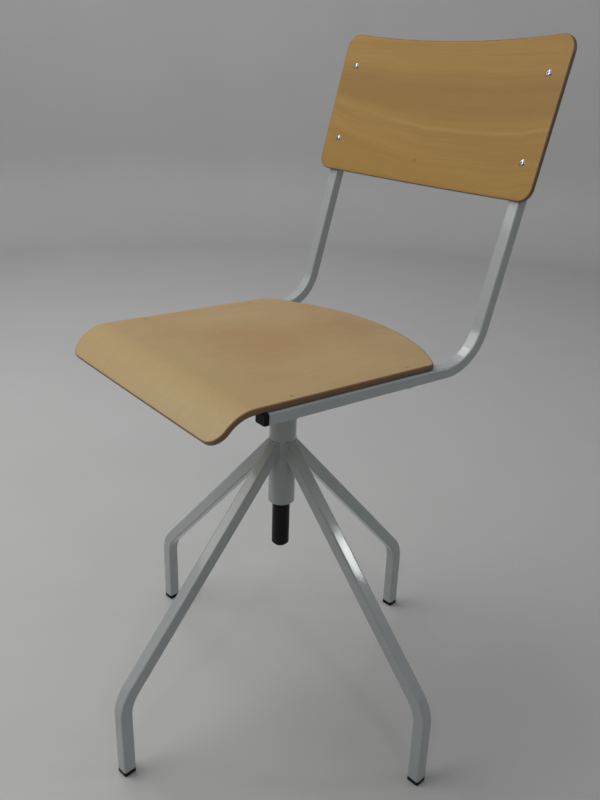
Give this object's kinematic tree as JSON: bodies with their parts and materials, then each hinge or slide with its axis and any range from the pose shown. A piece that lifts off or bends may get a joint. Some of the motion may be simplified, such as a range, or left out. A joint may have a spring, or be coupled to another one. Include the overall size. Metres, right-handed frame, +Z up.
{
  "type": "drafting chair",
  "caption": "Height-adjustable drafting chair: a screw spindle in a welded four-leg tube base carries bent side tubes with a moulded plywood seat and a curved plywood backrest.",
  "frame": {"origin": "on the spindle axis, at floor level under the four feet", "axes": "+Z up along the spindle; -Y is the way the seat faces, so the backrest is at +Y; +X is the sitter's left"},
  "size_m": [0.638, 0.638, 1.0474],
  "materials": {
    "paint": "light blue-grey gloss powder coat",
    "plastic": "black moulded plastic, satin",
    "spindle_black": "satin black spindle",
    "plated": "bright zinc-plated steel",
    "dome": "polished dome heads",
    "seat_wood": "clear-lacquered beech veneer, satin",
    "back_wood": "clear-lacquered beech veneer, satin"
  },
  "bodies": {
    "base": {"hub_tube": "paint", "spindle_nut": "plated", "guide_sleeve": "plastic", "leg_left": "paint", "leg_rear": "paint", "leg_right": "paint", "leg_front": "paint", "foot_left": "plastic", "foot_rear": "plastic", "foot_right": "plastic", "foot_front": "plastic"},
    "bush": {"guide_bush": "plastic"},
    "seat": {"spindle": "spindle_black", "spindle_collar": "paint", "spindle_bolt": "plated", "spindle_washer": "plated", "support_plate": "paint", "cross_tube_front": "paint", "cross_tube_rear": "paint", "rail_left": "paint", "rail_right": "paint", "rail_plug_left": "plastic", "rail_plug_right": "plastic", "upright_cap_left": "plastic", "upright_cap_right": "plastic", "seat_panel": "seat_wood", "seat_inserts": "plated", "seat_screws": "plated", "backrest_panel": "back_wood", "backrest_screws": "dome", "backrest_washers": "plated", "backrest_nuts": "plated"}
  },
  "joints": [
    {"name": "seat_turn", "type": "hinge", "parent": "base", "child": "bush", "pos_m": [0, 0, 0.523], "axis": [0, 0, 1], "range_deg": [-3600, 6480]},
    {"name": "seat_lift", "type": "slide", "parent": "bush", "child": "seat", "axis": [0, 0, 1], "range_m": [-0.0501, 0.0901]}
  ],
  "couplings": [
    {"joint": "seat_lift", "follows": "seat_turn", "m_per_rad": 0.00079577}
  ]
}
